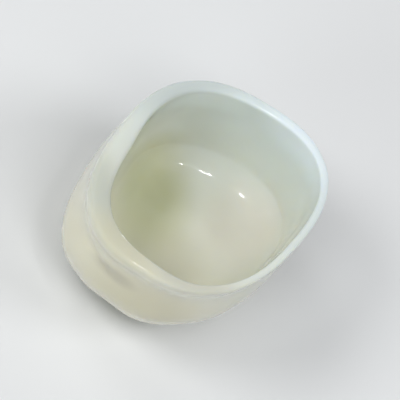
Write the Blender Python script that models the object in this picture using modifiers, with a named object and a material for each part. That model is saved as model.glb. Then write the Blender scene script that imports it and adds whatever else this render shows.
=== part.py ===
"""Crown for an upper left molar: one thin ceramic shell, open at the neck and closed by its chewing face.

It stands as it is worn in the upper jaw, with the opening up and the cusps down. X runs to the front of
the mouth, Y to the cheek and Z to the gum. The origin lies on the surface that the cusps stand on, under
the crown's middle.
"""

import math

import bmesh
import bpy

# Overall sizes, in metres
CROWN_WIDTH = 0.0106  # front to back, at the fullest part of the wall
CROWN_DEPTH = 0.0121  # cheek to palate, at the fullest part of the wall
CROWN_HEIGHT = 0.0075  # from the cusp tips up to the margin
MARGIN_THICKNESS = 0.00062  # of the wall, at the margin, on average all round
FLOOR_THICKNESS = 0.00140  # of the chewing face

# Outline seen from the opening: a rounded rhomboid, wider at the cheek
SQUARENESS = 2.5  # 2 is an ellipse, and more is squarer
CHEEK_WIDENING = 0.06  # share by which the outline is wider at the cheek, and narrower at the palate
LEAN = 0.14  # forward shift of the outline for each metre towards the cheek

# Wall, from the shoulder over the cusps up to the margin
SHOULDER_INSET = 0.00085  # the shoulder lies this far inside the fullest part
PALATE_INSET = 0.00020  # and this much further on the palate side, which leans in more
FULLEST = 0.52  # share of the wall's height where it is fullest
FULLEST_SHIFT = 0.08  # the cheek side is fullest this much higher, and the palate side lower
NECK = 0.83  # share of the wall's height where it is drawn in under the margin
NECK_INSET = 0.00013
PALATE_NECK_INSET = 0.00016  # the neck is drawn in this much further on the palate side
MARGIN_INSET = 0.00005
MARGIN_ROUNDING = 0.00012

# Inside, from the foot of its wall up to the margin
FOOT_INSET = 0.00127  # the foot lies this far inside the fullest part of the outer wall, on average all round
THIN_SIDE = math.radians(12)  # direction in which the wall is thinnest
MARGIN_SHIFT = 0.00025  # the inside lies off the middle by this much in that direction, at the margin
FOOT_SHIFT = 0.00060  # and by this much at the foot
EVEN_TAPER = 0.5  # share of the narrowing that is even from the margin down
INSIDE_TURN = 4  # the rest comes lower down, and the higher this is, the lower and tighter it turns

# Grooves that run from between two cusps up the wall
CHEEK_GROOVE = math.radians(86)  # direction
PALATE_GROOVE = math.radians(236)
CHEEK_GROOVE_DEPTH = 0.00028  # at the shoulder
PALATE_GROOVE_DEPTH = 0.00008
GROOVE_WIDTH = math.radians(12)  # to either side
GROOVE_END = 0.75  # share of the wall's height where a groove has run out

# Chewing face
SHOULDER_RISE = 0.00080  # from the foot of a cusp's outer slope up to the shoulder
SHOULDER_TURN = 6  # the higher, the tighter the turn from the chewing face to the wall
CUSP_SLOPE = 0.78
CUSP_ROUNDING = 0.00080
VALLEY_ROUNDING = 0.00012
FLOOR_SMOOTHING = 0.00220  # the inside follows the chewing face as averaged over this radius
FLOOR_TURN_RISE = 0.00070  # of the inside's rounded corner, from the floor up to the wall

# How far the crests of the chewing face lie above the surface that the cusps stand on
TALL_CUSP = 0.0
SHORT_CUSP = 0.00030
LOW_SADDLE = 0.00060
CHEEK_SADDLE_HEIGHT = 0.00095
EDGE_RIDGE_HEIGHT = 0.00105
OBLIQUE_SADDLE_HEIGHT = 0.00120
RIDGE_FOOT_HEIGHT = 0.00150

# Points of the chewing face's crests: shares of the half width and half depth, then the height
FRONT_CHEEK_TIP = (0.45, 0.60, TALL_CUSP)
BACK_CHEEK_TIP = (-0.49, 0.58, TALL_CUSP)
FRONT_PALATE_TIP = (0.15, -0.57, TALL_CUSP)
BACK_PALATE_TIP = (-0.51, -0.53, SHORT_CUSP)
FRONT_RIDGE = (0.69, 0.01, EDGE_RIDGE_HEIGHT)
BACK_RIDGE = (-0.71, 0.03, EDGE_RIDGE_HEIGHT)
FRONT_PALATE_CORNER = (0.53, -0.46, LOW_SADDLE)
CHEEK_SADDLE = (-0.02, 0.66, CHEEK_SADDLE_HEIGHT)
PALATE_SADDLE = (-0.27, -0.67, LOW_SADDLE)
OBLIQUE_SADDLE = (-0.16, 0.0, OBLIQUE_SADDLE_HEIGHT)
FRONT_CHEEK_FOOT = (0.24, 0.19, RIDGE_FOOT_HEIGHT)
BACK_CHEEK_FOOT = (-0.12, 0.27, RIDGE_FOOT_HEIGHT)
FRONT_PALATE_FOOT = (0.31, -0.19, RIDGE_FOOT_HEIGHT)
BACK_PALATE_FOOT = (-0.38, -0.23, RIDGE_FOOT_HEIGHT)
RIDGES = (
    (FRONT_CHEEK_TIP, FRONT_RIDGE, FRONT_PALATE_CORNER, FRONT_PALATE_TIP),
    (BACK_CHEEK_TIP, BACK_RIDGE, BACK_PALATE_TIP),
    (FRONT_CHEEK_TIP, CHEEK_SADDLE, BACK_CHEEK_TIP),
    (FRONT_PALATE_TIP, PALATE_SADDLE, BACK_PALATE_TIP),
    (FRONT_PALATE_TIP, OBLIQUE_SADDLE, BACK_CHEEK_TIP),
    (FRONT_CHEEK_TIP, FRONT_CHEEK_FOOT),
    (BACK_CHEEK_TIP, BACK_CHEEK_FOOT),
    (FRONT_PALATE_TIP, FRONT_PALATE_FOOT),
    (BACK_PALATE_TIP, BACK_PALATE_FOOT),
)

# Faces of the cage that the subdivision refines
FACE_CELLS = 16  # along each side of the chewing face
OUTER_ROWS = 6
INNER_ROWS = 4
SMOOTHING_RINGS = 2  # around each point of the inside, where the chewing face's height is read
SMOOTHING_STEPS = 8
ROUNDING_SEGMENTS = 2
ROUNDED_ABOVE = math.radians(60)  # edges that turn more than this are rounded
WELD_DISTANCE = 0.000001

CERAMIC_COLOUR = (0.66, 0.62, 0.48, 1.0)
CERAMIC_ROUGHNESS = 0.16


def smooth_step(t):
    t = min(max(t, 0.0), 1.0)
    return t * t * (3 - 2 * t)


def leant(x, y):
    """Where a point of the plain outline goes once the outline is widened at the cheek and leant forward."""
    return x * (1 + CHEEK_WIDENING * y / (CROWN_DEPTH / 2)) + LEAN * y, y


def placed(angle, radius):
    return leant(radius * math.cos(angle), radius * math.sin(angle))


def outline_radius(angle):
    """How far the fullest part of the wall lies from the axis, in this direction."""
    across = abs(math.cos(angle) / (CROWN_WIDTH / 2)) ** SQUARENESS
    along = abs(math.sin(angle) / (CROWN_DEPTH / 2)) ** SQUARENESS
    return (across + along) ** (-1 / SQUARENESS)


def towards_palate(angle):
    """1 on the palate side, falling to 0 on the cheek side."""
    return ((1 - math.sin(angle)) / 2) ** 2


def shoulder_inset(angle):
    return SHOULDER_INSET + PALATE_INSET * towards_palate(angle)


def neck_inset(angle):
    return NECK_INSET + PALATE_NECK_INSET * towards_palate(angle)


def groove_inset(angle, share):
    """How deep a groove cuts into the wall, in this direction and at this share of the wall's height."""
    inset = 0.0
    for direction, depth in ((CHEEK_GROOVE, CHEEK_GROOVE_DEPTH), (PALATE_GROOVE, PALATE_GROOVE_DEPTH)):
        away = math.remainder(angle - direction, math.tau) / GROOVE_WIDTH
        inset += depth * math.exp(-away * away)
    return inset * (1 - smooth_step(share / GROOVE_END))


def wall_inset(angle, share):
    """How far inside the fullest part the wall lies, leaving its grooves out."""
    fullest = FULLEST + FULLEST_SHIFT * math.sin(angle)
    if share < fullest:
        return shoulder_inset(angle) * (1 - math.sin(math.pi / 2 * share / fullest))
    if share < NECK:
        return neck_inset(angle) * smooth_step((share - fullest) / (NECK - fullest))
    return neck_inset(angle) + (MARGIN_INSET - neck_inset(angle)) * smooth_step((share - NECK) / (1 - NECK))


def inside_inset(angle, share):
    """How far inside the outline the inner wall lies, at this share of the way from its foot up to the margin."""
    thinning = math.cos(angle - THIN_SIDE)
    at_margin = MARGIN_INSET + MARGIN_THICKNESS - MARGIN_SHIFT * thinning
    at_foot = FOOT_INSET - FOOT_SHIFT * thinning
    narrowing = EVEN_TAPER * (1 - share) + (1 - EVEN_TAPER) * (1 - share) ** INSIDE_TURN
    return at_margin + (at_foot - at_margin) * narrowing


def straight_crests():
    """The straight stretches of all the ridges, as pairs of points (x, y, height)."""
    stretches = []
    for ridge in RIDGES:
        points = [(*leant(across * CROWN_WIDTH / 2, along * CROWN_DEPTH / 2), z) for across, along, z in ridge]
        stretches += zip(points, points[1:])
    return stretches


CRESTS = straight_crests()


def crest_height(start, end, x, y):
    """Height at (x, y) of a rounded ridge whose crest runs straight from start to end."""
    run_x, run_y = end[0] - start[0], end[1] - start[1]
    share = ((x - start[0]) * run_x + (y - start[1]) * run_y) / (run_x**2 + run_y**2)
    share = min(max(share, 0.0), 1.0)
    away = math.hypot(x - start[0] - share * run_x, y - start[1] - share * run_y)
    crest = start[2] + share * (end[2] - start[2])
    return crest + CUSP_SLOPE * (math.hypot(away, CUSP_ROUNDING) - CUSP_ROUNDING)


def chewing_height(x, y):
    """Height of the chewing face over the plane of the cusp tips: the lowest ridge there, with rounded valleys."""
    total = sum(math.exp(-crest_height(start, end, x, y) / VALLEY_ROUNDING) for start, end in CRESTS)
    return -VALLEY_ROUNDING * math.log(total)


def floor_height(x, y):
    """Height of the inside over the same plane."""
    total = 0.0
    for ring in range(1, SMOOTHING_RINGS + 1):
        reach = FLOOR_SMOOTHING * ring / SMOOTHING_RINGS
        for step in range(SMOOTHING_STEPS):
            turn = math.tau * step / SMOOTHING_STEPS
            total += chewing_height(x + reach * math.cos(turn), y + reach * math.sin(turn))
    return FLOOR_THICKNESS + total / (SMOOTHING_RINGS * SMOOTHING_STEPS)


def outer_face_point(angle, reach):
    """A point of the chewing face, whose reach is 0 on the axis and 1 at the shoulder."""
    inset = shoulder_inset(angle) + groove_inset(angle, 0.0)
    x, y = placed(angle, reach * (outline_radius(angle) - inset))
    return x, y, chewing_height(x, y) + SHOULDER_RISE * reach**SHOULDER_TURN


def outer_wall_point(angle, share):
    """A point of the outer wall, whose share is 0 at the shoulder and 1 at the margin."""
    foot = outer_face_point(angle, 1.0)[2]
    inset = wall_inset(angle, share) + groove_inset(angle, share)
    x, y = placed(angle, outline_radius(angle) - inset)
    return x, y, foot + share * (CROWN_HEIGHT - foot)


def inner_face_point(angle, reach):
    """A point of the inside's floor, whose reach is 0 on the axis and 1 at the foot of the inner wall."""
    x, y = placed(angle, reach * (outline_radius(angle) - inside_inset(angle, 0.0)))
    return x, y, floor_height(x, y) + FLOOR_TURN_RISE * reach**SHOULDER_TURN


def inner_wall_point(angle, share):
    foot = inner_face_point(angle, 1.0)[2]
    x, y = placed(angle, outline_radius(angle) - inside_inset(angle, share))
    return x, y, foot + share * (CROWN_HEIGHT - foot)


def draw_out(cage, rim, place):
    """Extrudes an open edge of the cage, puts each new point where its direction says, and gives the new edge."""
    direction = cage.verts.layers.float["direction"]
    drawn = bmesh.ops.extrude_edge_only(cage, edges=rim)["geom"]
    for vert in (item for item in drawn if isinstance(item, bmesh.types.BMVert)):
        vert.co = place(vert[direction])
    return [item for item in drawn if isinstance(item, bmesh.types.BMEdge) and item.is_boundary]


def shell_side(cage, face_point, wall_point, rows):
    """One side of the shell: a square grid spread over its face and drawn up to the margin; gives its open edge."""
    direction = cage.verts.layers.float["direction"]
    grid = bmesh.ops.create_grid(cage, x_segments=FACE_CELLS, y_segments=FACE_CELLS, size=1.0)["verts"]
    rim = list({edge for vert in grid for edge in vert.link_edges if edge.is_boundary})
    for vert in grid:
        u, v = vert.co.x, vert.co.y
        across, along = u * math.sqrt(1 - v * v / 2), v * math.sqrt(1 - u * u / 2)
        vert[direction] = math.atan2(along, across)
        vert.co = face_point(vert[direction], math.hypot(across, along))
    for row in range(1, rows + 1):
        rim = draw_out(cage, rim, lambda angle: wall_point(angle, row / rows))
    return rim


def crown_cage():
    """The whole shell as a coarse closed mesh, with sharp creases where the walls meet the flat margin."""
    cage = bmesh.new()
    cage.verts.layers.float.new("direction")
    crease = cage.edges.layers.float.new("crease_edge")
    outer_edge = shell_side(cage, outer_face_point, outer_wall_point, OUTER_ROWS)
    inner_edge = shell_side(cage, inner_face_point, inner_wall_point, INNER_ROWS)
    margin_edge = draw_out(cage, outer_edge, lambda angle: inner_wall_point(angle, 1.0))
    for edge in outer_edge + inner_edge + margin_edge:
        edge[crease] = 1.0
    bmesh.ops.remove_doubles(cage, verts=cage.verts, dist=WELD_DISTANCE)
    bmesh.ops.recalc_face_normals(cage, faces=cage.faces)
    mesh = bpy.data.meshes.new("crown")
    cage.to_mesh(mesh)
    cage.free()
    return mesh


def ceramic():
    material = bpy.data.materials.new("ceramic")
    material.use_nodes = True
    surface = material.node_tree.nodes["Principled BSDF"]
    surface.inputs["Base Color"].default_value = CERAMIC_COLOUR
    surface.inputs["Roughness"].default_value = CERAMIC_ROUGHNESS
    surface.inputs["Metallic"].default_value = 0.0
    return material


def build_crown(collection):
    crown = bpy.data.objects.new("crown", crown_cage())
    collection.objects.link(crown)
    crown.data.materials.append(ceramic())
    crown.data.shade_smooth()
    refine = crown.modifiers.new("smooth_form", "SUBSURF")
    refine.levels = refine.render_levels = 1
    edge = crown.modifiers.new("margin_rounding", "BEVEL")
    edge.width = MARGIN_ROUNDING
    edge.segments = ROUNDING_SEGMENTS
    edge.limit_method = "ANGLE"
    edge.angle_limit = ROUNDED_ABOVE
    return crown


def stand_on_cusps(crown):
    """Moves the crown so that its lowest cusp touches the surface and its box is centred on the origin."""
    bpy.context.view_layer.update()
    corners = crown.evaluated_get(bpy.context.evaluated_depsgraph_get()).bound_box
    low = [min(corner[axis] for corner in corners) for axis in range(3)]
    high = [max(corner[axis] for corner in corners) for axis in range(3)]
    crown.location = (-(low[0] + high[0]) / 2, -(low[1] + high[1]) / 2, -low[2])


def main():
    for leftover in list(bpy.data.objects):
        bpy.data.objects.remove(leftover)
    collection = bpy.data.collections.new("dental_crown")
    bpy.context.scene.collection.children.link(collection)
    stand_on_cusps(build_crown(collection))


main()
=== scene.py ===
"""Looks for the ceramic dental crown: a fine glazed shell, a floor, soft light and a camera.

The shell is worked out from the same driving dimensions as the solid, in metres, but on a closer cage. It
adds the fine forms that the solid leaves out: crisp fissures, a short fold, a rolled and rounded lip, and a
slightly uneven glaze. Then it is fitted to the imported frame's box.
"""

import math

import bmesh
import bpy
from mathutils import Matrix, Vector, noise


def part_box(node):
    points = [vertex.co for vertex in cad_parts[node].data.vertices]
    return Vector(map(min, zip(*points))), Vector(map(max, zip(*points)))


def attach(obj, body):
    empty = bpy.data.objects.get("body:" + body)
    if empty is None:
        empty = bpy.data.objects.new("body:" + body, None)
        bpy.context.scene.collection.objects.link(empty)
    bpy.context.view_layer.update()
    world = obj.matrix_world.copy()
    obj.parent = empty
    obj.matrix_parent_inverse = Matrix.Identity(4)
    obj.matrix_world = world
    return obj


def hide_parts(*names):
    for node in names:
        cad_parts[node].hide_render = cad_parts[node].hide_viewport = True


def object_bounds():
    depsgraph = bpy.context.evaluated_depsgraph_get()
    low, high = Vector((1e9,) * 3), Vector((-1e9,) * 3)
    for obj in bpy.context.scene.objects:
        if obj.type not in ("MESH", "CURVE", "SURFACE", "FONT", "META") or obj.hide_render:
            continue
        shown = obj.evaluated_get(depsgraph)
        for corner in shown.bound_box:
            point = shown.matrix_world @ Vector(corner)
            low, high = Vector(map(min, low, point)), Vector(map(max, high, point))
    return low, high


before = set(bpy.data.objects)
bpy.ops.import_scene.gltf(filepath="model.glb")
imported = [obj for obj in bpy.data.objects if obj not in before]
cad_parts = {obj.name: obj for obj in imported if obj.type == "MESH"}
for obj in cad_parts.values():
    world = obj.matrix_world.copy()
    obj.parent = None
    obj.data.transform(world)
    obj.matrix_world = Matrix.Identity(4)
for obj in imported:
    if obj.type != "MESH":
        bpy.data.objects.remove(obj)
cad_low, cad_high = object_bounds()

# Overall sizes, in metres
CROWN_WIDTH = 0.0106  # front to back, at the fullest part of the wall
CROWN_DEPTH = 0.0121  # cheek to palate, at the fullest part of the wall
CROWN_HEIGHT = 0.0075  # from the cusp tips up to the margin
MARGIN_THICKNESS = 0.00062  # of the wall, at the margin, on average all round
FLOOR_THICKNESS = 0.00140  # of the chewing face

# Outline seen from the opening
SQUARENESS = 2.5  # 2 is an ellipse, and more is squarer
CHEEK_WIDENING = 0.06  # share by which the outline is wider at the cheek, and narrower at the palate
LEAN = 0.14  # forward shift of the outline for each metre towards the cheek

# Wall, from the shoulder over the cusps up to the margin
SHOULDER_INSET = 0.00085  # the shoulder lies this far inside the fullest part
PALATE_INSET = 0.00020  # and this much further on the palate side, which leans in more
FULLEST = 0.52  # share of the wall's height where it is fullest
FULLEST_SHIFT = 0.08  # the cheek side is fullest this much higher, and the palate side lower
NECK = 0.83  # share of the wall's height where it is drawn in under the margin
NECK_INSET = 0.00013
PALATE_NECK_INSET = 0.00016  # the neck is drawn in this much further on the palate side
MARGIN_INSET = 0.00005

# Inside, from the foot of its wall up to the margin
FOOT_INSET = 0.00127  # the foot lies this far inside the fullest part of the outer wall, on average all round
THIN_SIDE = math.radians(12)  # direction in which the wall is thinnest
MARGIN_SHIFT = 0.00025  # the inside lies off the middle by this much in that direction, at the margin
FOOT_SHIFT = 0.00060  # and by this much at the foot
EVEN_TAPER = 0.5  # share of the narrowing that is even from the margin down
INSIDE_TURN = 4  # the rest comes lower down, and the higher this is, the lower and tighter it turns

# Rounded lip of the margin, and its roll into the mouth on the thick side
LIP_SHARE = 0.34  # height of the lip, as a share of the wall's thickness there
LIP_SQUARENESS = 2.8  # 2 is a round lip, and more is squarer
ROLL_MIDDLE = math.radians(226)
ROLL_REACH = math.radians(62)  # to either side
ROLL_START = 0.72  # share of the wall's height where the roll begins
ROLL_DEPTH = 0.00032

# Power that gives the roll and the fold an even middle
EVEN_MIDDLE = 4

# Short fold on the palate's side of the wall, under the margin
FOLD_MIDDLE = math.radians(250)
FOLD_REACH = math.radians(13)  # to either side
FOLD_HEIGHT = 0.71  # share of the wall's height
FOLD_FALL = 0.28  # it sinks by this share for each radian further forward
FOLD_WIDTH = 0.032  # share of the wall's height
FOLD_DEPTH = 0.00013

# Grooves that run from between two cusps up the wall
CHEEK_GROOVE = math.radians(86)
PALATE_GROOVE = math.radians(236)
CHEEK_GROOVE_DEPTH = 0.00028  # at the shoulder
PALATE_GROOVE_DEPTH = 0.00008
GROOVE_WIDTH = math.radians(12)  # to either side
GROOVE_END = 0.75  # share of the wall's height where a groove has run out

# Chewing face
SHOULDER_RISE = 0.00080  # from the foot of a cusp's outer slope up to the shoulder
SHOULDER_TURN = 6  # the higher, the tighter the turn from the chewing face to the wall
CUSP_SLOPE = 0.78
CUSP_ROUNDING = 0.00080
VALLEY_ROUNDING = 0.00005

# Fissures at the bottom of the valleys
FISSURE_DEPTH = 0.00026
FISSURE_WIDTH = 0.00016  # measured in the difference of height between the two slopes
FISSURE_START = 0.00035  # a fissure has its full depth this far above the ridges' crests
FISSURE_REACH = 0.78  # share of the way to the shoulder where a fissure has run out
FISSURE_FADE = 0.30  # it gets shallower over this share before that

# Inside of the chewing face
FLOOR_VALLEY_ROUNDING = 0.00012
FLOOR_SMOOTHING = 0.00220  # the inside follows the chewing face as averaged over this radius
SMOOTHING_RINGS = 2
SMOOTHING_STEPS = 8  # on each ring
FLOOR_TURN_RISE = 0.00070  # of the inside's rounded corner, from the floor up to the wall

# Chewing face's high points: shares of the half width and half depth, then the height over the cusp tips
FRONT_CHEEK_TIP = (0.45, 0.60, 0.0)
BACK_CHEEK_TIP = (-0.49, 0.58, 0.0)
FRONT_PALATE_TIP = (0.15, -0.57, 0.0)
BACK_PALATE_TIP = (-0.51, -0.53, 0.00030)
FRONT_RIDGE = (0.69, 0.01, 0.00105)
BACK_RIDGE = (-0.71, 0.03, 0.00105)
FRONT_PALATE_CORNER = (0.53, -0.46, 0.00060)
CHEEK_SADDLE = (-0.02, 0.66, 0.00095)
PALATE_SADDLE = (-0.27, -0.67, 0.00060)
OBLIQUE_SADDLE = (-0.16, 0.0, 0.00120)
FRONT_CHEEK_FOOT = (0.24, 0.19, 0.00150)
BACK_CHEEK_FOOT = (-0.12, 0.27, 0.00150)
FRONT_PALATE_FOOT = (0.31, -0.19, 0.00150)
BACK_PALATE_FOOT = (-0.38, -0.23, 0.00150)
RIDGES = (
    (FRONT_CHEEK_TIP, FRONT_RIDGE, FRONT_PALATE_CORNER, FRONT_PALATE_TIP),
    (BACK_CHEEK_TIP, BACK_RIDGE, BACK_PALATE_TIP),
    (FRONT_CHEEK_TIP, CHEEK_SADDLE, BACK_CHEEK_TIP),
    (FRONT_PALATE_TIP, PALATE_SADDLE, BACK_PALATE_TIP),
    (FRONT_PALATE_TIP, OBLIQUE_SADDLE, BACK_CHEEK_TIP),
    (FRONT_CHEEK_TIP, FRONT_CHEEK_FOOT),
    (BACK_CHEEK_TIP, BACK_CHEEK_FOOT),
    (FRONT_PALATE_TIP, FRONT_PALATE_FOOT),
    (BACK_PALATE_TIP, BACK_PALATE_FOOT),
)

# Cage of the fine shell
FACE_CELLS = 64
OUTER_ROWS = 26
INNER_ROWS = 18
LIP_ROWS = 8
WELD_DISTANCE = 0.0000005
BOX_CLEARANCE = 0.000002

# Unevenness of the hand-finished surface
WAVE_SIZE = 0.0024
WAVE_DEPTH = 0.000035
WAVE_SMOOTHNESS = 0.6
WAVE_STEP = 2.0  # each finer wave is smaller by this
WAVE_OCTAVES = 2

# Shade of the ceramic, from warm at the palate's cusps to cool at the margin on the cheek's side
# Its cool side is partly the thin margin's own tone and partly painted cool light from bluish surroundings
WARM_IVORY = (0.680, 0.662, 0.525, 1.0)
COOL_IVORY = (0.672, 0.752, 0.757, 1.0)
SHADE_RUN = (18.7, 76.8, 109.0)  # how fast it turns cool, for each metre along each axis
SHADE_START = 0.18
SHADE_DRIFT = 0.10  # share by which faint clouds shift it
CLOUD_SCALE = 420.0
CLOUD_DETAIL = 3.0

# Body and glaze of the ceramic
BODY_ROUGHNESS = 0.24
BODY_IOR = 1.5
SUBSURFACE_WEIGHT = 0.35
SUBSURFACE_RADIUS = (1.0, 0.85, 0.50)
SUBSURFACE_SCALE = 0.0010
GLAZE_WEIGHT = 0.8
GLAZE_ROUGHNESS = 0.05

# Soft oval patches of painted light and shade: colour, share of it that shows, middle, turn about +Z in
# degrees, and reach along each turned axis. Three lie on the inner floor, two high on the cheek's side of the
# wall, four darken the margin, and two lie on the palate's side of the outer wall, the last in the fold.
PATCH_CORE = 0.25  # share of the reach over which a patch is even
PAINTED_LIGHT_AND_SHADE = (
    # Painted warm light: pinker where the key light falls on the front of the floor
    ((0.735, 0.695, 0.60), 0.75, (0.0030, 0.0021, 0.0024), 0, (0.0034, 0.0036, 0.0018)),
    # Painted shadow on the floor, under the wall on the palate's side
    ((0.56, 0.545, 0.42), 0.65, (0.0000, -0.0018, 0.0026), 10, (0.0032, 0.0026, 0.0022)),
    # Painted shade: olive where the wall's shadow falls on the back of the floor
    ((0.49, 0.496, 0.30), 0.92, (-0.0019, 0.0011, 0.0024), 17, (0.0029, 0.0048, 0.0022)),
    # Painted light: a lighter, cooler band high on the inner wall, at the back of the cheek's side
    ((0.74, 0.820, 0.82), 0.9, (-0.0022, 0.0048, 0.0066), 30, (0.0036, 0.0015, 0.0011)),
    # Painted cool light and reflection: a bright bluish band on the margin at the front of the cheek's side
    ((0.79, 0.890, 0.94), 0.85, (0.0027, 0.0051, 0.0072), -32, (0.0036, 0.0017, 0.0019)),
    # Painted shade: these four dim the margin, which faces up into the lamps
    ((0.50, 0.550, 0.54), 0.8, (-0.0033, 0.0039, 0.0076), 48, (0.0050, 0.0017, 0.0006)),
    ((0.52, 0.545, 0.48), 0.95, (-0.0042, -0.0038, 0.0076), -45, (0.0060, 0.0019, 0.0008)),
    ((0.54, 0.535, 0.46), 0.8, (0.0019, -0.0051, 0.0076), 12, (0.0046, 0.0017, 0.0008)),
    ((0.60, 0.575, 0.42), 0.65, (-0.0024, -0.0052, 0.0075), -15, (0.0032, 0.0015, 0.0009)),
    # Painted shade: a darker, warmer band low on the palate's side of the outer wall
    ((0.59, 0.565, 0.40), 0.7, (0.0004, -0.0056, 0.0038), 0, (0.0048, 0.0018, 0.0036)),
    # Painted shade in the fold under the margin
    ((0.44, 0.420, 0.33), 0.6, (-0.0018, -0.0057, 0.0054), -12, (0.0019, 0.0006, 0.0006)),
)

# Ground under the crown
GROUND_SIZE = 2.0
GROUND_COLOUR = (0.78, 0.79, 0.80, 1.0)
GROUND_ROUGHNESS = 0.9
GROUND_SPECULAR = 0.1

# Surroundings: the light that they give, and the plain background that is seen
WORLD_COLOUR = (0.91, 0.985, 1.0, 1.0)
WORLD_LIGHT = 0.03
WORLD_SEEN = 0.80

# Soft lamps, which shine in no glaze: name, direction in the view, power and colour
LAMP_DISTANCE = 0.30
SOFT_LAMP_SIZE = 0.12
WHITE = (1.0, 1.0, 1.0)
COOL_WHITE = (0.94, 0.985, 1.0)
BLUISH_WHITE = (0.80, 0.93, 1.0)
SOFT_LAMPS = (
    ("key", (-0.41, 0.45, 0.79), 0.300, WHITE),
    ("front", (0.35, -0.03, 0.94), 0.170, WHITE),
    ("left", (-0.59, -0.25, 0.77), 0.158, COOL_WHITE),
    ("side", (-0.95, 0.10, 0.30), 0.030, BLUISH_WHITE),
    ("above", (-0.01, 0.20, 0.98), 0.125, WHITE),
    ("right", (0.88, 0.05, 0.47), 0.230, WHITE),
    ("low", (0.45, -0.30, 0.84), 0.070, WHITE),
    ("top", (-0.15, 0.83, 0.50), 0.110, WHITE),
)

# One more soft lamp, low on the cheek's side
CHEEK_TURN = math.radians(85)
CHEEK_RISE = math.radians(14)
CHEEK_POWER = 0.12

# Small lamps for the highlights inside the crown: name, direction in the view, size and power
SMALL_LAMPS = (
    ("sparkle", (0.37, 0.23, 0.90), 0.020, 0.030),
    ("small_sparkle", (-0.48, 0.67, 0.57), 0.014, 0.009),
)

# Small low lamps all round, for glints on the sides
GLINT_TURNS = (20, 75, 170, 235, 295)  # degrees
GLINT_RISE = math.radians(4)
GLINT_SIZE = 0.018
GLINT_POWER = 0.010

# View: the photograph's viewing angle, with the crown framed large
VIEW_AZIMUTH = math.radians(-11)
VIEW_ELEVATION = math.radians(58)
VIEW_ROLL = math.radians(42)
VIEW_DISTANCE = 0.45
IMAGE_PIXELS = 400
PIXEL = 0.001 / 20.75  # size on the crown
MARGIN_CENTRE_PIXEL = (209.6, 188.8)  # from the picture's top left
SENSOR_MILLIMETRES = 36.0
CLIP_START = 0.01
CLIP_END = 10.0


def smooth_step(t):
    t = min(max(t, 0.0), 1.0)
    return t * t * (3 - 2 * t)


def leant(x, y):
    """The point as it lies once the outline is widened at the cheek and leant forwards."""
    return x * (1 + CHEEK_WIDENING * y / (CROWN_DEPTH / 2)) + LEAN * y, y


def placed(angle, radius):
    """The point in this direction, at this distance from the middle."""
    return leant(radius * math.cos(angle), radius * math.sin(angle))


def outline_radius(angle):
    across = abs(math.cos(angle) / (CROWN_WIDTH / 2)) ** SQUARENESS
    along = abs(math.sin(angle) / (CROWN_DEPTH / 2)) ** SQUARENESS
    return (across + along) ** (-1 / SQUARENESS)


def towards_palate(angle):
    """1 on the palate's side and 0 on the cheek's."""
    return ((1 - math.sin(angle)) / 2) ** 2


def shoulder_inset(angle):
    return SHOULDER_INSET + PALATE_INSET * towards_palate(angle)


def neck_inset(angle):
    return NECK_INSET + PALATE_NECK_INSET * towards_palate(angle)


def groove_inset(angle, share):
    inset = 0.0
    for direction, depth in ((CHEEK_GROOVE, CHEEK_GROOVE_DEPTH), (PALATE_GROOVE, PALATE_GROOVE_DEPTH)):
        away = math.remainder(angle - direction, math.tau) / GROOVE_WIDTH
        inset += depth * math.exp(-away * away)
    return inset * (1 - smooth_step(share / GROOVE_END))


def fold_inset(angle, share):
    away = math.remainder(angle - FOLD_MIDDLE, math.tau)
    off = (share - FOLD_HEIGHT + FOLD_FALL * away) / FOLD_WIDTH
    return FOLD_DEPTH * math.exp(-((away / FOLD_REACH) ** EVEN_MIDDLE) - off * off)


def wall_inset(angle, share):
    fullest = FULLEST + FULLEST_SHIFT * math.sin(angle)
    if share < fullest:
        return shoulder_inset(angle) * (1 - math.sin(math.pi / 2 * share / fullest))
    if share < NECK:
        return neck_inset(angle) * smooth_step((share - fullest) / (NECK - fullest))
    return neck_inset(angle) + (MARGIN_INSET - neck_inset(angle)) * smooth_step((share - NECK) / (1 - NECK))


def inside_inset(angle, share):
    """How far inside the outline the inner wall lies, at this share of its height."""
    thinning = math.cos(angle - THIN_SIDE)
    at_margin = MARGIN_INSET + MARGIN_THICKNESS - MARGIN_SHIFT * thinning
    at_foot = FOOT_INSET - FOOT_SHIFT * thinning
    narrowing = EVEN_TAPER * (1 - share) + (1 - EVEN_TAPER) * (1 - share) ** INSIDE_TURN
    return at_margin + (at_foot - at_margin) * narrowing


def crest_lines():
    """The straight stretches of each ridge's crest."""
    lines = []
    for ridge in RIDGES:
        points = [
            (*leant(across * CROWN_WIDTH / 2, along * CROWN_DEPTH / 2), height)
            for across, along, height in ridge
        ]
        lines.append(list(zip(points, points[1:])))
    return lines


CREST_LINES = crest_lines()
CRESTS = [stretch for line in CREST_LINES for stretch in line]


def crest_height(start, end, x, y):
    """The height here of the slope that rises from a stretch of a ridge's crest."""
    run_x, run_y = end[0] - start[0], end[1] - start[1]
    share = ((x - start[0]) * run_x + (y - start[1]) * run_y) / (run_x**2 + run_y**2)
    share = min(max(share, 0.0), 1.0)
    away = math.hypot(x - start[0] - share * run_x, y - start[1] - share * run_y)
    crest = start[2] + share * (end[2] - start[2])
    return crest + CUSP_SLOPE * (math.hypot(away, CUSP_ROUNDING) - CUSP_ROUNDING)


def chewing_height(x, y, rounding=VALLEY_ROUNDING):
    """The height of the chewing face: the lowest of all slopes, with the valleys between them rounded."""
    total = sum(math.exp(-crest_height(start, end, x, y) / rounding) for start, end in CRESTS)
    return -rounding * math.log(total)


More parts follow.
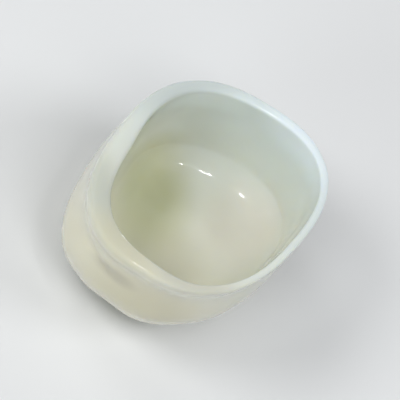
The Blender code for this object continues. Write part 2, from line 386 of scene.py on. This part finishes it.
def fissure_depth(x, y, reach):
    """How deep the fissure is here: it runs where two ridges' slopes meet, and fades towards their crests."""
    slopes = sorted(min(crest_height(*stretch, x, y) for stretch in line) for line in CREST_LINES)
    crest = min((crest_height(*stretch, x, y), min(stretch[0][2], stretch[1][2])) for stretch in CRESTS)[1]
    across = (slopes[1] - slopes[0]) / FISSURE_WIDTH
    off_crest = smooth_step((slopes[0] - crest) / FISSURE_START)
    off_edge = smooth_step((FISSURE_REACH - reach) / FISSURE_FADE)
    return FISSURE_DEPTH * math.exp(-across * across) * (off_crest * off_edge)


def floor_height(x, y):
    """The height of the inner floor, which follows the chewing face as averaged around this point."""
    around = [
        (ring * FLOOR_SMOOTHING / SMOOTHING_RINGS, math.tau * step / SMOOTHING_STEPS)
        for ring in range(1, SMOOTHING_RINGS + 1)
        for step in range(SMOOTHING_STEPS)
    ]
    nearby = [
        chewing_height(x + reach * math.cos(turn), y + reach * math.sin(turn), FLOOR_VALLEY_ROUNDING)
        for reach, turn in around
    ]
    return FLOOR_THICKNESS + sum(nearby) / len(nearby)


def outer_face_point(angle, reach):
    inset = shoulder_inset(angle) + groove_inset(angle, 0.0)
    x, y = placed(angle, reach * (outline_radius(angle) - inset))
    return x, y, chewing_height(x, y) + fissure_depth(x, y, reach) + SHOULDER_RISE * reach**SHOULDER_TURN


def inner_face_point(angle, reach):
    x, y = placed(angle, reach * inner_radius(angle, 0.0))
    return x, y, floor_height(x, y) + FLOOR_TURN_RISE * reach**SHOULDER_TURN


def lip_height(angle):
    return LIP_SHARE * (outer_radius(angle, 1.0) - inner_radius(angle, 1.0))


def wall(face_point, radius, angle, share):
    """A point of a wall that rises from the edge of a face to the foot of the lip."""
    foot = face_point(angle, 1.0)[2]
    x, y = placed(angle, radius(angle, share))
    return x, y, foot + share * (CROWN_HEIGHT - lip_height(angle) - foot)


def outer_radius(angle, share):
    inset = wall_inset(angle, share)
    return outline_radius(angle) - inset - groove_inset(angle, share) - fold_inset(angle, share)


def roll_inset(angle, share):
    """How far the margin's roll stands into the mouth, on the thick side."""
    away = math.remainder(angle - ROLL_MIDDLE, math.tau) / ROLL_REACH
    return ROLL_DEPTH * math.exp(-away**EVEN_MIDDLE) * smooth_step((share - ROLL_START) / (1 - ROLL_START))


def inner_radius(angle, share):
    return outline_radius(angle) - inside_inset(angle, share) - roll_inset(angle, share)


def outer_wall_point(angle, share):
    return wall(outer_face_point, outer_radius, angle, share)


def inner_wall_point(angle, share):
    return wall(inner_face_point, inner_radius, angle, share)


def lip_point(angle, share):
    """A point of the margin's rounded lip, whose share is 0 at the outer wall and 1 at the inner wall."""
    turn = math.pi * share
    across = math.copysign(abs(math.cos(turn)) ** (2 / LIP_SQUARENESS), math.cos(turn))
    rise = math.sin(turn) ** (2 / LIP_SQUARENESS) if 0 < share < 1 else 0.0
    middle = (outer_radius(angle, 1.0) + inner_radius(angle, 1.0)) / 2
    half = (outer_radius(angle, 1.0) - inner_radius(angle, 1.0)) / 2
    x, y = placed(angle, middle + half * across)
    return x, y, CROWN_HEIGHT - lip_height(angle) * (1 - rise)


def draw_out(cage, rim, place):
    """Draws a loop of points out to their next places, with faces in between, and gives the new loop."""
    direction = cage.verts.layers.float["direction"]
    drawn = [cage.verts.new(place(vert[direction])) for vert in rim]
    for i, vert in enumerate(drawn):
        vert[direction] = rim[i][direction]
        cage.faces.new((rim[i - 1], rim[i], vert, drawn[i - 1]))
    return drawn


def shell_side(cage, face_point, wall_point, rows):
    """One side of the shell: a grid spread over its face and drawn up to the lip. It gives its last loop."""
    direction = cage.verts.layers.float["direction"]
    grid = bmesh.ops.create_grid(cage, x_segments=FACE_CELLS, y_segments=FACE_CELLS, size=1.0)["verts"]
    for vert in grid:
        u, v = vert.co.x, vert.co.y
        across, along = u * math.sqrt(1 - v * v / 2), v * math.sqrt(1 - u * u / 2)
        vert[direction] = math.atan2(along, across)
        vert.co = face_point(vert[direction], math.hypot(across, along))
    rim = sorted((vert for vert in grid if vert.is_boundary), key=lambda vert: vert[direction])
    for row in range(1, rows + 1):
        rim = draw_out(cage, rim, lambda angle: wall_point(angle, row / rows))
    return rim


def fit_to_box(mesh, low, high):
    """Scales the mesh, by a percent or so, to fill the frame's box and stay inside it."""
    corners = [[pick(vert.co[axis] for vert in mesh.vertices) for axis in range(3)] for pick in (min, max)]
    own_low, own_high = (Vector(corner) for corner in corners)
    room = Vector((BOX_CLEARANCE,) * 3)
    size = (high - low) - 2 * room
    scale = [size[axis] / (own_high - own_low)[axis] for axis in range(3)]
    move = Matrix.Translation(low + room) @ Matrix.Diagonal((*scale, 1.0)) @ Matrix.Translation(-own_low)
    mesh.transform(move)


def crown_mesh():
    """The closed shell: its outer side, its inner side, and the lip that joins them."""
    cage = bmesh.new()
    cage.verts.layers.float.new("direction")
    rim = shell_side(cage, outer_face_point, outer_wall_point, OUTER_ROWS)
    shell_side(cage, inner_face_point, inner_wall_point, INNER_ROWS)
    for row in range(1, LIP_ROWS + 1):
        rim = draw_out(cage, rim, lambda angle: lip_point(angle, row / LIP_ROWS))
    bmesh.ops.remove_doubles(cage, verts=cage.verts, dist=WELD_DISTANCE)
    bmesh.ops.recalc_face_normals(cage, faces=cage.faces)
    cage.normal_update()
    for vert in cage.verts:
        wave = noise.fractal(vert.co / WAVE_SIZE, WAVE_SMOOTHNESS, WAVE_STEP, WAVE_OCTAVES)
        vert.co += vert.normal * (WAVE_DEPTH * wave)
    mesh = bpy.data.meshes.new("crown_shell")
    cage.to_mesh(mesh)
    cage.free()
    mesh.shade_smooth()
    return mesh


def new_material(name):
    """A new material, with its main shader."""
    material = bpy.data.materials.new(name)
    material.use_nodes = True
    return material, material.node_tree.nodes["Principled BSDF"]


def with_painted_patch(tree, place, shade, colour, strength, middle, turn, reach):
    """The shade with a soft oval patch of painted light and shade laid over it."""
    local = tree.nodes.new("ShaderNodeMapping")
    local.vector_type = "TEXTURE"
    local.inputs["Location"].default_value = middle
    local.inputs["Rotation"].default_value = (0.0, 0.0, math.radians(turn))
    local.inputs["Scale"].default_value = reach
    tree.links.new(place, local.inputs["Vector"])
    away = tree.nodes.new("ShaderNodeVectorMath")
    away.operation = "LENGTH"
    tree.links.new(local.outputs["Vector"], away.inputs[0])
    share = tree.nodes.new("ShaderNodeMapRange")
    share.interpolation_type = "SMOOTHSTEP"
    share.inputs["From Min"].default_value = 1.0
    share.inputs["From Max"].default_value = PATCH_CORE
    share.inputs["To Max"].default_value = strength
    tree.links.new(away.outputs["Value"], share.inputs["Value"])
    mix = tree.nodes.new("ShaderNodeMix")
    mix.data_type = "RGBA"
    tree.links.new(share.outputs["Result"], mix.inputs["Factor"])
    tree.links.new(shade, mix.inputs["A"])
    mix.inputs["B"].default_value = (*colour, 1.0)
    return mix.outputs["Result"]


def glazed_ceramic():
    """Glazed ivory ceramic, with its run of shade, faint clouds and patches of painted light and shade."""
    material, surface = new_material("glazed_ceramic")
    tree = material.node_tree
    links = tree.links
    place = tree.nodes.new("ShaderNodeTexCoord").outputs["Object"]
    # Run from warm to cool ivory: partly its own tone, partly painted cool light on the margin
    along = tree.nodes.new("ShaderNodeVectorMath")
    along.operation = "DOT_PRODUCT"
    along.inputs[1].default_value = SHADE_RUN
    links.new(place, along.inputs[0])
    clouds = tree.nodes.new("ShaderNodeTexNoise")
    clouds.inputs["Scale"].default_value = CLOUD_SCALE
    clouds.inputs["Detail"].default_value = CLOUD_DETAIL
    links.new(place, clouds.inputs["Vector"])
    drift = tree.nodes.new("ShaderNodeMath")
    drift.operation = "MULTIPLY_ADD"
    drift.inputs[1].default_value = SHADE_DRIFT
    links.new(clouds.outputs["Fac"], drift.inputs[0])
    links.new(along.outputs["Value"], drift.inputs[2])
    share = tree.nodes.new("ShaderNodeMapRange")
    share.inputs["From Min"].default_value = SHADE_START
    share.inputs["From Max"].default_value = SHADE_START + 1.0
    links.new(drift.outputs["Value"], share.inputs["Value"])
    body = tree.nodes.new("ShaderNodeMix")
    body.data_type = "RGBA"
    body.inputs["A"].default_value = WARM_IVORY
    body.inputs["B"].default_value = COOL_IVORY
    links.new(share.outputs["Result"], body.inputs["Factor"])
    shade = body.outputs["Result"]
    # Patches of painted light and shade over the ivory
    for patch in PAINTED_LIGHT_AND_SHADE:
        shade = with_painted_patch(tree, place, shade, *patch)
    links.new(shade, surface.inputs["Base Color"])
    surface.inputs["Roughness"].default_value = BODY_ROUGHNESS
    surface.inputs["IOR"].default_value = BODY_IOR
    surface.inputs["Subsurface Weight"].default_value = SUBSURFACE_WEIGHT
    surface.inputs["Subsurface Radius"].default_value = SUBSURFACE_RADIUS
    surface.inputs["Subsurface Scale"].default_value = SUBSURFACE_SCALE
    surface.inputs["Coat Weight"].default_value = GLAZE_WEIGHT
    surface.inputs["Coat Roughness"].default_value = GLAZE_ROUGHNESS
    return material


def pale_floor():
    material, surface = new_material("pale_floor")
    surface.inputs["Base Color"].default_value = GROUND_COLOUR
    surface.inputs["Roughness"].default_value = GROUND_ROUGHNESS
    surface.inputs["Specular IOR Level"].default_value = GROUND_SPECULAR
    return material


def view_axes():
    """The picture's right, up and towards-the-camera directions."""
    right = Vector((math.cos(VIEW_AZIMUTH), math.sin(VIEW_AZIMUTH), 0.0))
    away = Vector((-math.sin(VIEW_AZIMUTH), math.cos(VIEW_AZIMUTH), 0.0))
    level = Vector((0.0, 0.0, 1.0))
    up = away * math.sin(VIEW_ELEVATION) + level * math.cos(VIEW_ELEVATION)
    back = level * math.sin(VIEW_ELEVATION) - away * math.cos(VIEW_ELEVATION)
    turn = Matrix.Rotation(VIEW_ROLL, 3, back)
    return turn @ right, turn @ up, back


def in_view(right, up, back):
    """A direction given by how far it goes to the picture's right, up and towards the camera."""
    axes = view_axes()
    return (axes[0] * right + axes[1] * up + axes[2] * back).normalized()


def level_direction(turn, rise):
    """A direction turned from +X towards +Y, and raised."""
    return Vector((math.cos(turn) * math.cos(rise), math.sin(turn) * math.cos(rise), math.sin(rise)))


def add_camera(target):
    """A camera at the photograph's viewing angle, which shows the target at its pixel."""
    right, up, back = view_axes()
    data = bpy.data.cameras.new("camera")
    data.sensor_width = SENSOR_MILLIMETRES
    data.lens = SENSOR_MILLIMETRES * VIEW_DISTANCE / (IMAGE_PIXELS * PIXEL)
    data.clip_start = CLIP_START
    data.clip_end = CLIP_END
    camera = bpy.data.objects.new("camera", data)
    bpy.context.scene.collection.objects.link(camera)
    aside = (MARGIN_CENTRE_PIXEL[0] - IMAGE_PIXELS / 2) * PIXEL
    above = (IMAGE_PIXELS / 2 - MARGIN_CENTRE_PIXEL[1]) * PIXEL
    place = target - right * aside - up * above + back * VIEW_DISTANCE
    camera.matrix_world = Matrix.Translation(place) @ Matrix((right, up, back)).transposed().to_4x4()
    bpy.context.scene.camera = camera


def add_lamp(name, target, direction, size, power, colour=WHITE, shines=True):
    """A round lamp that faces the target from this direction. The camera never sees it, but the glaze may."""
    data = bpy.data.lights.new(name, "AREA")
    data.shape = "DISK"
    data.size = size
    data.energy = power
    data.color = colour
    lamp = bpy.data.objects.new(name, data)
    bpy.context.scene.collection.objects.link(lamp)
    lamp.location = target + direction * LAMP_DISTANCE
    lamp.rotation_mode = "QUATERNION"
    lamp.rotation_quaternion = direction.to_track_quat("Z", "Y")
    lamp.visible_camera = False
    lamp.visible_glossy = shines


def add_lamps(target):
    for name, direction, power, colour in SOFT_LAMPS:
        add_lamp(name, target, in_view(*direction), SOFT_LAMP_SIZE, power, colour, shines=False)
    cheek = level_direction(CHEEK_TURN, CHEEK_RISE)
    add_lamp("cheek", target, cheek, SOFT_LAMP_SIZE, CHEEK_POWER, shines=False)
    for name, direction, size, power in SMALL_LAMPS:
        add_lamp(name, target, in_view(*direction), size, power)
    for turn in GLINT_TURNS:
        add_lamp("glint", target, level_direction(math.radians(turn), GLINT_RISE), GLINT_SIZE, GLINT_POWER)


def add_world():
    """Faint even light from all round, and a plain pale background where it is seen or mirrored."""
    world = bpy.data.worlds.new("studio")
    bpy.context.scene.world = world
    world.use_nodes = True
    tree = world.node_tree
    background = tree.nodes["Background"]
    ray = tree.nodes.new("ShaderNodeLightPath")
    either = tree.nodes.new("ShaderNodeMath")
    either.operation = "MAXIMUM"
    any_seen = tree.nodes.new("ShaderNodeMath")
    any_seen.operation = "MAXIMUM"
    strength = tree.nodes.new("ShaderNodeMapRange")
    strength.inputs["To Min"].default_value = WORLD_LIGHT
    strength.inputs["To Max"].default_value = WORLD_SEEN
    tree.links.new(ray.outputs["Is Camera Ray"], either.inputs[0])
    tree.links.new(ray.outputs["Is Glossy Ray"], either.inputs[1])
    tree.links.new(either.outputs["Value"], any_seen.inputs[0])
    tree.links.new(ray.outputs["Is Transmission Ray"], any_seen.inputs[1])
    tree.links.new(any_seen.outputs["Value"], strength.inputs["Value"])
    tree.links.new(strength.outputs["Result"], background.inputs["Strength"])
    background.inputs["Color"].default_value = WORLD_COLOUR


def add_floor():
    bpy.ops.mesh.primitive_plane_add(size=GROUND_SIZE)
    floor = bpy.context.object
    floor.name = "floor"
    floor.data.materials.append(pale_floor())


def add_crown(low, high):
    crown = bpy.data.objects.new("crown_shell", crown_mesh())
    bpy.context.scene.collection.objects.link(crown)
    refine = crown.modifiers.new("smooth_form", "SUBSURF")
    refine.levels = refine.render_levels = 1
    bpy.context.view_layer.update()
    refined = bpy.data.meshes.new_from_object(crown.evaluated_get(bpy.context.evaluated_depsgraph_get()))
    crown.modifiers.clear()
    crown.data = refined
    crown.data.name = "crown_shell"
    fit_to_box(crown.data, low, high)
    crown.data.materials.clear()
    crown.data.materials.append(glazed_ceramic())
    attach(crown, "root")
    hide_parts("crown")


add_crown(*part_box("crown"))
add_floor()
add_world()
margin_centre = Vector((0.0, 0.0, cad_high.z))
add_camera(margin_centre)
add_lamps(margin_centre)

bpy.context.scene.view_settings.view_transform = "Standard"
